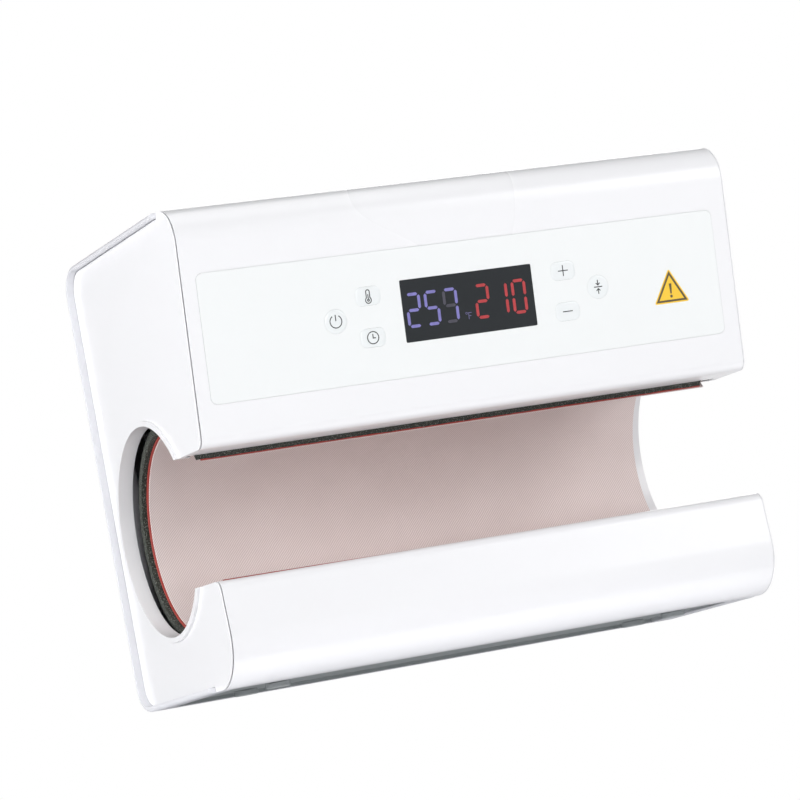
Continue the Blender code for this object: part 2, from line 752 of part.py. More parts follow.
def build():
    clear_scene()
    mats = make_materials()
    make_shell(mats)
    make_caps(mats)
    make_upper_cover(mats)
    make_lower_cover(mats)
    make_overlay(mats)
    make_display(mats)
    make_keys(mats)
    make_control_board(mats)
    make_base(mats)
    make_inlet(mats)
    make_frames(mats)
    jaw = make_mat(mats) + make_lugs(mats)
    hang_on_axis("jaw_axis", (0, *hinge_centre()), jaw)
    make_motor(mats)
    hang_on_axis("screw_axis", (0, DRIVE_Y, 180.0), make_screw(mats))
    hang_on_axis("carriage_axis", (0, DRIVE_Y, TRUNNION_Z), make_carriage(mats))
    make_blocks(mats)


build()
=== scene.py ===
"""Looks of the mug heat press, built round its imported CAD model.

X runs along the mug tunnel, -Y is the front with the control panel, +Z is up. Sizes below are in
millimetres and reach Blender through MM. Most repeat the CAD's own sizes. The ends of the covers, the
mat's edges and layers, the base and the shell's ends were drawn again here to look like the photo.
"""

import math

import bmesh
import bpy
from mathutils import Matrix, Quaternion, Vector, noise


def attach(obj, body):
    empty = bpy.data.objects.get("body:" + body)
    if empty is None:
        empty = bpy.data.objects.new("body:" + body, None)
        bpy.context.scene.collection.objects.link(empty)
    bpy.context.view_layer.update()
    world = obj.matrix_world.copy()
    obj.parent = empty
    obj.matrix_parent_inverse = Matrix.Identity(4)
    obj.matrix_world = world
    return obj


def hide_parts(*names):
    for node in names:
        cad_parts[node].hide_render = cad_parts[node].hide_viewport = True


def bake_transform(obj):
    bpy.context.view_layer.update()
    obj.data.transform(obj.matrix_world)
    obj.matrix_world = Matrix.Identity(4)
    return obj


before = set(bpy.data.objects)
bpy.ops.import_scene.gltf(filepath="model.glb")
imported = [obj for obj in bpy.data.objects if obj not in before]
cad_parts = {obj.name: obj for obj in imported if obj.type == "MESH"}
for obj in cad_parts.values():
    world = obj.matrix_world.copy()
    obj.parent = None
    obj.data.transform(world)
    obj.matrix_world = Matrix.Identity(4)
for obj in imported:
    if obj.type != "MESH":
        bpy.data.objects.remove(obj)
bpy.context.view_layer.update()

MM = 0.001
GAP = 0.3
CLEAR = 2.0
STEP_DEG = 3.0
BEVEL_ABOVE_DEG = 32.0
FINE_BEVEL = 0.25

# Housing
COLLAR_END = 170.0
CAP_OUTER = {"left": -168.2, "right": 169.4}
FLANGE = 0.7
SEAMS = (0.6, 0.15)
SHELL_HALF = 172.5
CAP_INNER = 165.0
SHELL_WALL = 3.0
COVER_WALL = 2.5
TOP = 262.5
BOTTOM = 0.9
BOTTOM_FRONT = 2.7
BACK = 91.1
BACK_TOP_R = 18.0
BACK_BOTTOM_R = 15.0
TOP_SEAM_Y = -70.0
BOTTOM_SEAM_Y = -30.0
EDGE_R = 0.2
# How far each shell section is behind the end, and how far it is drawn in from the outer face
SHELL_ENDS = ((0.0, 2.0), (0.35, 1.35), (0.8, 0.85), (1.4, 0.4), (2.1, 0.1), (2.8, 0.0))

# Upper front cover
PANEL_LEAN = math.radians(8.55)
BROW_CENTRE = (-72.0, 243.4)
BROW_R = 19.1
CHIN_R = 7.0
CHIN_CENTRE = (-68.6, 138.5)
PANEL_MARGIN = 1.2
SLOT_TOP = 131.5
SLOT_TOP_REAR_Y = -44.5

# Lower front cover
LIP_TOP = 60.6
LIP_CENTRE = (-58.8, 54.6)
LIP_R = 6.0
LIP_REAR_Y = -48.0
TOE_CENTRE = (-38.5, 30.9)
TOE_R = 28.0
LIP_LEAN = 4.2

# Round mug opening in each end cap
RIM_CENTRE = (15.45, 97.8)
RIM_R = 59.6
RIM_WALL = 3.0
RIM_INNER_END = 161.0

# Heater mat: inner radius, outer radius and half length of each layer
MAT_CENTRE = (8.6, 95.0)
MAT_TOP_DEG = 144.0
MAT_BOTTOM_DEG = -145.3
MAT_SHEET = (56.5, 57.2, (-155.0, 160.2))
MAT_HEATER = (57.25, 58.4, (-156.0, 157.6))
MAT_FOAM = (58.45, 62.9, (-159.0, 157.0))
EDGE_TILT_DEG = 1.9
EDGE_TILT_REACH = 30.0
LAYER_STEP_DEG = 1.5
LAYER_CORNER = 0.25
FRAY_REACH = 1.0
FRAY_SCALE = 0.9
FRAY_SEED = 7

# Twill of the cloth over the mat
TWILL_SPAN = 1.6
THREAD_SPAN = 0.7
RIB_SHARE = 0.38
THREAD_SHARE = 0.12

# Control panel, measured from the middle and up the panel from the level of its underside
OVERLAY_HALF = 158.6
OVERLAY_SPAN = (22.4, 93.2)
OVERLAY_THICK = 0.6
OVERLAY_R = 3.7
WINDOW_HALF = 40.5
WINDOW_SPAN = (41.2, 75.8)
WINDOW_R = 0.8
WINDOW_THICK = 2.2
FILM_MARGIN = 0.18
KEY_THICK = 4.2
KEY_PROUD = 0.2
ROUND_KEY_R = 6.7
PAD_KEY = (15.0, 10.4)
PAD_KEY_R = 3.6
KEY_SEAM = 0.06
KEY_CROWN = 1.3
CROWN_SHARES = (0.15, 0.35, 0.6, 0.8, 1.0)
CUT_DEPTH = 6.0
CUT_ABOVE = 2.0
INK = 0.04
ICON_LINE = 0.55
MITRE_LIMIT = 0.3

# Base: a plate set into the open underside of the shell, with a rim along its rear edge. Its grey and its rim
# are painted shade, standing where the inside of the shell's back wall is in shadow.
BASE_X = (-160.0, 151.0)
BASE_REAR_Y = 68.0
BASE_Z = (3.2, 4.5)
SHADE_RIM_Z = 1.2
SHADE_RIM_WALL = 1.5
FOOT_PLACES = {"front": -12.0, "rear": 40.0}
FOOT_X = 125.0
FOOT_PROFILE = ((3.6, 0.5), (4.2, 0.12), (4.8, 0.0), (6.2, 0.0), (6.8, 0.2), (7.0, 0.5), (7.0, 2.9))
SCREW_PLACES = {"front": -20.0, "rear": 52.0}
BASE_SCREW_X = 146.0
BASE_SCREW_R = 3.0
HEAD_PROFILE = ((0.9, 3.9), (1.1, 3.5), (1.5, 3.35), (2.2, 3.3), (2.8, 3.45), (3.0, 3.8), (3.0, 4.4))
SHANK_PROFILE = ((1.5, 4.4), (1.5, 9.5))

# Mains inlet
INLET_X = 120.0
INLET_Z = 34.0
INLET_BODY = (27.0, 20.0)
INLET_R = 2.0
INLET_SOCKET = (24.0, 16.0)
SOCKET_R = 3.0
INLET_DEPTH = 22.0
SOCKET_DEPTH = 16.0
BLADE = (2.0, 10.0, 4.0)
BLADE_PLACES = ((0.0, 5.0), (-7.0, -4.5), (7.0, -4.5))

# Lead screw
DRIVE_Y = -20.0
SCREW_R = 4.0
SCREW_SPAN = (157.5, 196.0)
THREAD_PITCH = 8.0
THREAD_STARTS = 4
THREAD_DEPTH = 0.6
THREAD_SLOPE = 1.6
THREAD_CREST = 0.3
SCREW_SIDES = 32
SCREW_STEP = 0.5

# Camera: where it stands and how it is turned
CAMERA_PLACE = (-809.0, -1798.0, -42.2)
CAMERA_AZIMUTH = math.radians(-23.82)
CAMERA_ELEVATION = math.radians(-5.59)
CAMERA_ROLL = math.radians(-10.67)
CAMERA_LENS = 154.7

# Studio
FLOOR_REACH = 4000.0
SKY_STRENGTH = 0.03


# ---------------------------------------------------------------- outlines in the (Y, Z) plane


def arc(centre, radius, start, end, step=STEP_DEG):
    """Points along an arc, with angles in degrees from +Y towards +Z."""
    count = max(2, math.ceil(abs(end - start) / step))
    points = []
    for i in range(count + 1):
        angle = math.radians(start + (end - start) * i / count)
        points.append((centre[0] + radius * math.cos(angle), centre[1] + radius * math.sin(angle)))
    return points


def on_circle(centre, radius, degrees):
    angle = math.radians(degrees)
    return (centre[0] + radius * math.cos(angle), centre[1] + radius * math.sin(angle))


def circle(centre, radius, count=32):
    return [on_circle(centre, radius, 360.0 * i / count) for i in range(count)]


def rounded_rectangle(centre, size, radius):
    """Corner points of a rectangle with round corners, in any flat pair of axes."""
    points = []
    for turn, (side_x, side_y) in enumerate(((1, 1), (-1, 1), (-1, -1), (1, -1))):
        corner = (
            centre[0] + side_x * (size[0] / 2 - radius),
            centre[1] + side_y * (size[1] / 2 - radius),
        )
        points += arc(corner, radius, turn * 90, turn * 90 + 90, 10)
    return points


def shell_path(inset):
    """Top, back and bottom of the rear shell, from the top seam round to the bottom seam."""
    top_centre = (BACK - BACK_TOP_R, TOP - BACK_TOP_R)
    low_centre = (BACK - BACK_BOTTOM_R, BOTTOM + BACK_BOTTOM_R)
    return (
        [(TOP_SEAM_Y, TOP - inset)]
        + arc(top_centre, BACK_TOP_R - inset, 90, 0)
        + arc(low_centre, BACK_BOTTOM_R - inset, 0, -90)
        + [(BOTTOM_SEAM_Y + GAP, BOTTOM_FRONT + inset)]
    )


def upper_path(inset, top_y=TOP_SEAM_Y - GAP, rear_y=SLOT_TOP_REAR_Y):
    """Upper front cover, from the top seam over the panel to the rear edge of its underside.

    There is one more point close to each end of the panel.
    """
    lean = math.degrees(PANEL_LEAN)
    brow = arc(BROW_CENTRE, BROW_R - inset, 90, 180 + lean)
    chin = arc(CHIN_CENTRE, CHIN_R - inset, 180 + lean, 270)
    step_y = PANEL_MARGIN * math.sin(PANEL_LEAN)
    step_z = PANEL_MARGIN * math.cos(PANEL_LEAN)
    below_brow = (brow[-1][0] + step_y, brow[-1][1] - step_z)
    above_chin = (chin[0][0] - step_y, chin[0][1] + step_z)
    start = (top_y, TOP - inset)
    end = (rear_y, SLOT_TOP + inset)
    return [start] + brow + [below_brow, above_chin] + chin + [end]


def lower_path(inset, top_y=LIP_REAR_Y, bottom_y=BOTTOM_SEAM_Y):
    """Lower front cover, from the rear edge of the lip's top round to the bottom seam."""
    return (
        [(top_y, LIP_TOP - inset)]
        + arc(LIP_CENTRE, LIP_R - inset, 90, 180 - LIP_LEAN)
        + arc(TOE_CENTRE, TOE_R - inset, 180 - LIP_LEAN, 270)
        + [(bottom_y, TOE_CENTRE[1] - TOE_R + inset)]
    )


def ribbon(path, wall):
    return path(0.0) + path(wall)[::-1]


def rim_arc(radius):
    low = 180.0 + math.degrees(math.asin((RIM_CENTRE[1] - LIP_TOP) / radius))
    high = 540.0 - math.degrees(math.asin((SLOT_TOP - RIM_CENTRE[1]) / radius))
    return arc(RIM_CENTRE, radius, low, high)


def cap_outline(cover_inset):
    """Face of an end cap: it fills the shell and the covers, and is open at the mug tunnel."""
    upper = upper_path(cover_inset, TOP_SEAM_Y - GAP, SLOT_TOP_REAR_Y + GAP)
    lower = lower_path(cover_inset, LIP_REAR_Y + GAP, BOTTOM_SEAM_Y)
    ends = ([(SLOT_TOP_REAR_Y + GAP, SLOT_TOP)], [(LIP_REAR_Y + GAP, LIP_TOP)])
    if cover_inset == 0.0:
        ends = ([], [])
    path = ends[0] + upper[::-1] + shell_path(SHELL_WALL + GAP) + lower[::-1] + ends[1]
    return path + rim_arc(RIM_R + RIM_WALL / 2)


# ---------------------------------------------------------------- mesh helpers


def mesh_object(name, bm):
    """A new object from a mesh drawn in millimetres."""
    bmesh.ops.recalc_face_normals(bm, faces=bm.faces)
    mesh = bpy.data.meshes.new(name)
    bm.to_mesh(mesh)
    bm.free()
    mesh.transform(Matrix.Scale(MM, 4))
    obj = bpy.data.objects.new(name, mesh)
    bpy.context.scene.collection.objects.link(obj)
    return obj


def add_prism(bm, corners, offset):
    """Adds a solid swept straight from a flat outline of 3-D corners."""
    verts = [bm.verts.new(corner) for corner in corners]
    face = bm.faces.new(verts)
    swept = bmesh.ops.extrude_face_region(bm, geom=[face])
    moved = [item for item in swept["geom"] if isinstance(item, bmesh.types.BMVert)]
    bmesh.ops.translate(bm, verts=moved, vec=Vector(offset))


def prism(name, corners, offset):
    bm = bmesh.new()
    add_prism(bm, corners, offset)
    return mesh_object(name, bm)


def prism_x(name, outline, x_from, x_to):
    return prism(name, [(x_from, y, z) for y, z in outline], (x_to - x_from, 0, 0))


def plate_z(name, outline, z_from, z_to):
    return prism(name, [(x, y, z_from) for x, y in outline], (0, 0, z_to - z_from))


def prism_y(name, outline, y_from, y_to):
    return prism(name, [(x, y_from, z) for x, z in outline], (0, y_to - y_from, 0))


def add_loft(bm, rings):
    """Adds a closed solid through rings of points, which all have the same count."""
    loops = [[bm.verts.new(point) for point in ring] for ring in rings]
    count = len(loops[0])
    for below, above in zip(loops, loops[1:]):
        for i in range(count):
            j = (i + 1) % count
            bm.faces.new((below[i], below[j], above[j], above[i]))
    bm.faces.new(loops[0][::-1])
    bm.faces.new(loops[-1])
    return loops


def loft(name, rings):
    bm = bmesh.new()
    add_loft(bm, rings)
    return mesh_object(name, bm)


def lathe_z(name, centre, profile, count=40):
    """A solid turned round an upright axis, from (radius, height) pairs."""
    rings = [[(x, y, z) for x, y in circle(centre, radius, count)] for radius, z in profile]
    return loft(name, rings)


def bevel(obj, width, segments=3):
    modifier = obj.modifiers.new("bevel", "BEVEL")
    modifier.width = width * MM
    modifier.segments = segments
    modifier.limit_method = "ANGLE"
    modifier.angle_limit = math.radians(BEVEL_ABOVE_DEG)
    modifier.use_clamp_overlap = False
    modifier.miter_outer = "MITER_ARC"


def combine(obj, other, operation):
    modifier = obj.modifiers.new(operation, "BOOLEAN")
    modifier.operation = operation
    modifier.solver = "EXACT"
    modifier.object = other


def evaluated_mesh(obj):
    graph = bpy.context.evaluated_depsgraph_get()
    graph.update()
    return bpy.data.meshes.new_from_object(obj.evaluated_get(graph))


def settle(obj, sharp_deg=38.0, even=True):
    """Applies the modifiers, then shades smooth over bevels and curves but not over flats."""
    helpers = [m.object for m in obj.modifiers if m.type == "BOOLEAN"]
    if obj.modifiers:
        made = evaluated_mesh(obj)
        obj.modifiers.clear()
        obj.data = made
    for helper in helpers:
        bpy.data.objects.remove(helper)
    obj.data.shade_smooth()
    obj.data.set_sharp_from_angle(angle=math.radians(sharp_deg))
    if even:
        weights = obj.modifiers.new("weights", "WEIGHTED_NORMAL")
        weights.keep_sharp = True
        made = evaluated_mesh(obj)
        obj.modifiers.clear()
        obj.data = made
    return obj


def dress(obj, body, slot, material, *nodes):
    """Gives a finished piece its material and its body, and hides the CAD nodes it stands for; its slot is
    not used.
    """
    obj.data.materials.clear()
    obj.data.materials.append(material)
    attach(obj, body)
    if nodes:
        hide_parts(*nodes)
    return obj


# ---------------------------------------------------------------- panel frame


def panel_point(up, out=0.0):
    """(Y, Z) of a point on the leaning panel."""
    lean = PANEL_LEAN
    foot = on_circle(CHIN_CENTRE, CHIN_R, 180 + math.degrees(lean))
    rise = up - (foot[1] - SLOT_TOP) / math.cos(lean)
    return (
        foot[0] - rise * math.sin(lean) - out * math.cos(lean),
        foot[1] + rise * math.cos(lean) - out * math.sin(lean),
    )


def on_panel(obj, x=0.0, up=0.0):
    """Stands a piece that was made flat, face up, on the panel."""
    y, z = panel_point(up)
    turn = Matrix.Rotation(math.pi / 2 + PANEL_LEAN, 4, "X")
    obj.data.transform(Matrix.Translation(Vector((x, y, z)) * MM) @ turn)
    return obj


# ---------------------------------------------------------------- materials


class Finish:
    """A node material on the Principled shader, with short ways to add nodes to it."""

    def __init__(self, name, **sockets):
        self.material = bpy.data.materials.new(name)
        self.material.use_nodes = True
        self.tree = self.material.node_tree
        self.shader = self.tree.nodes["Principled BSDF"]
        for key, value in sockets.items():
            self.shader.inputs[key.replace("_", " ")].default_value = value

    def node(self, kind, **settings):
        made = self.tree.nodes.new(kind)
        for key, value in settings.items():
            setattr(made, key, value)
        return made

    def link(self, source, target):
        self.tree.links.new(source, target)

    def place(self, coordinates="Object"):
        """Texture coordinates in millimetres."""
        source = self.node("ShaderNodeTexCoord").outputs[coordinates]
        scaled = self.node("ShaderNodeVectorMath", operation="SCALE")
        scaled.inputs["Scale"].default_value = 1 / MM
        self.link(source, scaled.inputs[0])
        return scaled.outputs["Vector"]

    def noise(self, place, size, detail=2.0, roughness=0.5):
        """Noise from 0 to 1, with features of about a size in millimetres."""
        made = self.node("ShaderNodeTexNoise")
        made.inputs["Scale"].default_value = 1.0 / size
        made.inputs["Detail"].default_value = detail
        made.inputs["Roughness"].default_value = roughness
        self.link(place, made.inputs["Vector"])
        return made.outputs["Fac"]

    def math(self, operation, first, second=None):
        made = self.node("ShaderNodeMath", operation=operation)
        for socket, value in zip(made.inputs, (first, second)):
            if isinstance(value, (int, float)):
                socket.default_value = value
            elif value is not None:
                self.link(value, socket)
        return made.outputs[0]

    def spread(self, value, low, high, start=0.3, end=0.7):
        """Maps a value from a start-end range to a low-high one."""
        made = self.node("ShaderNodeMapRange")
        made.inputs["From Min"].default_value = start
        made.inputs["From Max"].default_value = end
        made.inputs["To Min"].default_value = low
        made.inputs["To Max"].default_value = high
        self.link(value, made.inputs["Value"])
        return made.outputs["Result"]

    def mix(self, value, first, second):
        """A colour between two, which are colours or sockets."""
        made = self.node("ShaderNodeMix", data_type="RGBA")
        self.link(value, made.inputs["Factor"])
        for socket, colour in ((made.inputs[6], first), (made.inputs[7], second)):
            if isinstance(colour, tuple):
                socket.default_value = (*colour, 1.0)
            else:
                self.link(colour, socket)
        return made.outputs[2]

    def bump(self, height, strength, distance):
        made = self.node("ShaderNodeBump")
        made.inputs["Strength"].default_value = strength
        made.inputs["Distance"].default_value = distance * MM
        self.link(height, made.inputs["Height"])
        self.link(made.outputs["Normal"], self.shader.inputs["Normal"])

    def colour(self, socket):
        self.link(socket, self.shader.inputs["Base Color"])

    def roughness(self, socket):
        self.link(socket, self.shader.inputs["Roughness"])


def moulded(name, dark, light, rough, cloud=40.0, grain=0.5, relief=0.02, strength=0.15, **sockets):
    """Moulded plastic or rubber: cloudy colour, drifting gloss and a fine grain."""
    finish = Finish(name, **sockets)
    place = finish.place()
    clouds = finish.noise(place, cloud, 1.0)
    fine = finish.noise(place, grain, 2.0)
    finish.colour(finish.mix(finish.spread(clouds, 0.0, 1.0, 0.1, 0.9), dark, light))
    smear = finish.noise(place, 1.6 * cloud, 1.0)
    finish.roughness(finish.spread(smear, rough[0], rough[1], 0.1, 0.9))
    finish.bump(fine, strength, relief)
    return finish.material


def metal(name, dark, light, rough, stretch=(1.0, 1.0, 1.0), **sockets):
    """Rolled or turned metal: streaks along one direction, and duller patches."""
    finish = Finish(name, Metallic=1.0, **sockets)
    place = finish.place()
    mapping = finish.node("ShaderNodeMapping")
    mapping.inputs["Scale"].default_value = stretch
    finish.link(place, mapping.inputs["Vector"])
    streaks = finish.noise(mapping.outputs["Vector"], 1.2, 4.0, 0.6)
    patches = finish.noise(place, 22.0, 3.0)
    finish.colour(finish.mix(finish.spread(patches, 0.0, 1.0), dark, light))
    finish.roughness(finish.spread(streaks, rough[0], rough[1]))
    finish.bump(streaks, 0.1, 0.02)
    return finish.material


def mat_cloth():
    """Coated glass cloth over the heater: a fine twill seen as slanting ribs."""
    finish = Finish("mat_cloth", Sheen_Weight=0.15, Specular_IOR_Level=0.3)
    place = finish.place("UV")
    split = finish.node("ShaderNodeSeparateXYZ")
    finish.link(place, split.inputs["Vector"])
    along, across = split.outputs["X"], split.outputs["Y"]
    wander = finish.noise(place, 6.0, 2.0)
    drift = finish.math("MULTIPLY", wander, 1.2)
    slant = finish.math("ADD", finish.math("SUBTRACT", along, across), drift)
    rib = finish.math("SINE", finish.math("MULTIPLY", slant, 2 * math.pi / TWILL_SPAN))
    thread = finish.math("SINE", finish.math("MULTIPLY", along, 2 * math.pi / THREAD_SPAN))
    weft = finish.math("SINE", finish.math("MULTIPLY", across, 2 * math.pi / THREAD_SPAN))
    cross = finish.math("MULTIPLY", thread, weft)
    ribs = finish.math("MULTIPLY", rib, RIB_SHARE)
    threads = finish.math("MULTIPLY", cross, THREAD_SHARE)
    weave = finish.math("ADD", ribs, threads)
    height = finish.math("ADD", weave, 0.5)
    clouds = finish.noise(place, 35.0, 3.0)
    tone = finish.mix(finish.spread(clouds, 0.0, 1.0), (0.80, 0.70, 0.685), (0.87, 0.77, 0.755))
    # The low parts of the twill are painted darker: painted shade in the hollows between the ribs.
    painted_valley_shade = finish.mix(finish.spread(height, 0.0, 1.0, 0.05, 0.95), (0.58, 0.485, 0.47), tone)
    finish.colour(painted_valley_shade)
    finish.roughness(finish.spread(height, 0.62, 0.48, 0.0, 1.0))
    finish.bump(height, 0.5, 0.12)
    return finish.material


def foam_finish():
    """Felted insulation: dark fibres with pale ones among them."""
    finish = Finish("insulation_foam", Sheen_Weight=0.1, Sheen_Roughness=0.6, Specular_IOR_Level=0.2)
    place = finish.place()
    fuzz = finish.noise(place, 0.5, 4.0, 0.7)
    flecks = finish.noise(place, 0.7, 2.0, 0.6)
    ground = finish.mix(finish.spread(fuzz, 0.0, 1.0), (0.014, 0.016, 0.012), (0.035, 0.04, 0.032))
    pale = finish.spread(flecks, 0.0, 1.0, 0.56, 0.66)
    finish.colour(finish.mix(pale, ground, (0.20, 0.215, 0.19)))
    finish.roughness(finish.spread(fuzz, 0.85, 1.0))
    finish.bump(fuzz, 0.8, 0.4)
    return finish.material


def glow(name, colour, strength):
    """A lit display segment, a little uneven along its length as a light pipe is."""
    finish = Finish(name, Roughness=0.35, Emission_Strength=strength)
    place = finish.place()
    uneven = finish.noise(place, 2.0, 1.0)
    dim = tuple(part * 0.82 for part in colour)
    lit = finish.mix(finish.spread(uneven, 0.0, 1.0), dim, colour)
    finish.link(lit, finish.shader.inputs["Emission Color"])
    finish.colour(finish.mix(uneven, (0.01, 0.01, 0.012), (0.02, 0.02, 0.024)))
    return finish.material


def floor_finish():
    """Pale matt floor. Its underside is clear, since the camera stands lower than the floor."""
    finish = Finish("studio_floor", Roughness=0.8)
    place = finish.place()
    finish.colour(finish.mix(finish.noise(place, 120.0, 3.0), (0.80, 0.80, 0.81), (0.84, 0.84, 0.85)))
    clear = finish.node("ShaderNodeBsdfTransparent")
    mixer = finish.node("ShaderNodeMixShader")
    rays = finish.node("ShaderNodeLightPath")
    side = finish.node("ShaderNodeNewGeometry")
    see_through = finish.math("MAXIMUM", side.outputs["Backfacing"], rays.outputs["Is Shadow Ray"])
    finish.link(see_through, mixer.inputs["Fac"])
    finish.link(finish.shader.outputs["BSDF"], mixer.inputs[1])
    finish.link(clear.outputs["BSDF"], mixer.inputs[2])
    finish.link(mixer.outputs["Shader"], finish.tree.nodes["Material Output"].inputs["Surface"])
    return finish.material


def make_materials():
    white = {"cloud": 120.0, "grain": 3.0, "relief": 0.002, "Coat_Weight": 0.25, "Coat_Roughness": 0.15}
    film = {"cloud": 90.0, "grain": 3.0, "relief": 0.002, "Coat_Weight": 0.4, "Coat_Roughness": 0.1}
    keys = {"cloud": 12.0, "grain": 3.0, "relief": 0.002, "Coat_Weight": 0.4, "Coat_Roughness": 0.1}
    glass = {"Specular_IOR_Level": 0.3}
    return {
        "white": moulded(
            "white_plastic", (0.846, 0.848, 0.868), (0.852, 0.854, 0.873), (0.27, 0.285), **white,
        ),
        # A darker, bluer copy of the white plastic: painted shade, so the shell's end rims come out darker
        # than the caps.
        "shell": moulded(
            "shell_plastic_painted_shade", (0.755, 0.76, 0.795), (0.765, 0.77, 0.805), (0.27, 0.285), **white,
        ),
        "film": moulded(
            "panel_film", (0.842, 0.862, 0.865), (0.848, 0.867, 0.87), (0.18, 0.19), **film,
        ),
        "key": moulded("key_film", (0.80, 0.83, 0.84), (0.82, 0.845, 0.855), (0.18, 0.24), **keys),
        "glass": moulded(
            "smoked_glass", (0.016, 0.019, 0.022), (0.02, 0.023, 0.026), (0.14, 0.16), relief=0.004, **glass,
        ),
        "ink": moulded(
            "dark_ink", (0.018, 0.02, 0.022), (0.03, 0.032, 0.035), (0.5, 0.6), cloud=4.0, grain=0.2,
        ),
        "yellow": moulded(
            "badge_print", (0.86, 0.54, 0.03), (0.92, 0.60, 0.045), (0.3, 0.4), cloud=6.0, grain=0.3,
        ),
        "brown": moulded(
            "badge_ink", (0.09, 0.065, 0.03), (0.13, 0.095, 0.045), (0.35, 0.5), cloud=3.0, grain=0.2,
        ),
        "cloth": mat_cloth(),
        "red": moulded("red_silicone", (0.32, 0.038, 0.028), (0.42, 0.055, 0.042), (0.45, 0.6), cloud=9.0),
        "foam": foam_finish(),
        # Painted shade: the grey base and its rear rim stand where the inside of the shell's back wall lies
        # in shadow under the machine.
        "base": moulded(
            "grey_base_painted_shade", (0.43, 0.455, 0.465), (0.46, 0.485, 0.495), (0.5, 0.6), grain=0.8, relief=0.01,
        ),
        "rubber": moulded(
            "foot_rubber", (0.56, 0.585, 0.595), (0.60, 0.625, 0.635), (0.75, 0.9), cloud=5.0, strength=0.3,
        ),
        "black": moulded("black_plastic", (0.018, 0.018, 0.02), (0.03, 0.03, 0.032), (0.35, 0.5), cloud=8.0),
        "blue_light": glow("blue_segment", (0.22, 0.20, 0.55), 1.0),
        "ghost_light": glow("ghost_segment", (0.048, 0.046, 0.068), 1.0),
        "faint_light": glow("unit_segment", (0.12, 0.11, 0.26), 1.0),
        "red_light": glow("red_segment", (0.50, 0.026, 0.03), 1.0),
        "zinc": metal("zinc_plate", (0.12, 0.125, 0.13), (0.20, 0.205, 0.21), (0.36, 0.5), (0.1, 1.0, 1.0)),
        "steel": metal("turned_steel", (0.42, 0.42, 0.44), (0.56, 0.56, 0.58), (0.22, 0.36), (1.0, 1.0, 4.0)),
        "brass": metal("brass", (0.55, 0.38, 0.14), (0.70, 0.50, 0.20), (0.25, 0.4)),
        "board": moulded("circuit_board", (0.02, 0.10, 0.04), (0.035, 0.15, 0.065), (0.3, 0.45), cloud=6.0),
        "winding": moulded("tape_winding", (0.60, 0.44, 0.08), (0.72, 0.55, 0.13), (0.4, 0.55), cloud=6.0),
        "floor": floor_finish(),
    }


# ---------------------------------------------------------------- housing


def box_helper(low, high):
    (x0, y0, z0), (x1, y1, z1) = low, high
    corners = [(x0, y0, z0), (x1, y0, z0), (x1, y1, z0), (x0, y1, z0)]
    return prism("helper", corners, (0, 0, z1 - z0))


def shell_rings():
    """Sections of the shell along X. Its outer edge is well rounded towards each end."""
    rings = []
    for side, ends in ((-1, SHELL_ENDS), (1, SHELL_ENDS[::-1])):
        for back, inset in ends:
            x = side * (SHELL_HALF - back)
            section = shell_path(inset) + shell_path(SHELL_WALL)[::-1]
            rings.append([(x, y, z) for y, z in section])
    return rings


def make_shell(mats):
    shell = loft("shell_moulding", shell_rings())
    bevel(shell, EDGE_R)
    underside = box_helper(
        (BASE_X[0], BOTTOM_SEAM_Y - CLEAR, BOTTOM - CLEAR),
        (BASE_X[1], BASE_REAR_Y, BOTTOM_FRONT + SHELL_WALL + CLEAR),
    )
    inlet_size = (INLET_BODY[0] + 2 * GAP, INLET_BODY[1] + 2 * GAP)
    outline = rounded_rectangle((INLET_X, INLET_Z), inlet_size, INLET_R + GAP)
    inlet = prism_y("helper", outline, BACK - SHELL_WALL - CLEAR, BACK + CLEAR)
    for cutter in (underside, inlet):
        combine(shell, cutter, "DIFFERENCE")
    settle(shell)
    dress(shell, "housing", "white_shell", mats["shell"], "rear_shell")


def make_caps(mats):
    """A plate inside the covers, a flange that hides their ends, and a collar round the tunnel."""
    for side, outer in CAP_OUTER.items():
        sign = 1 if outer > 0 else -1
        inside = cap_outline(COVER_WALL + GAP)
        cap = prism_x(f"{side}_cap_moulding", inside, sign * CAP_INNER, outer)
        flange = prism_x("helper", cap_outline(0.0), outer - sign * FLANGE, outer)
        rim = rim_arc(RIM_R) + rim_arc(RIM_R + RIM_WALL)[::-1]
        collar = prism_x("helper", rim, sign * COLLAR_END, sign * RIM_INNER_END)
        combine(cap, flange, "UNION")
        combine(cap, collar, "UNION")
        bevel(cap, FINE_BEVEL, 2)
        settle(cap)
        dress(cap, "housing", "white_shell", mats["white"], f"{side}_end_cap")


def cover_span():
    """Where the front covers end, a seam's width inside the flanges. The left seam is the wider."""
    return CAP_OUTER["left"] + FLANGE + SEAMS[0], CAP_OUTER["right"] - FLANGE - SEAMS[1]


def key_outline(shape, grow=0.0):
    if shape == "round":
        return circle((0, 0), ROUND_KEY_R + grow, 40)
    size = (PAD_KEY[0] + 2 * grow, PAD_KEY[1] + 2 * grow)
    return rounded_rectangle((0, 0), size, PAD_KEY_R + grow)


def window_outline(grow):
    height = WINDOW_SPAN[1] - WINDOW_SPAN[0]
    return rounded_rectangle((0, 0), (2 * WINDOW_HALF + 2 * grow, height + 2 * grow), WINDOW_R + grow)


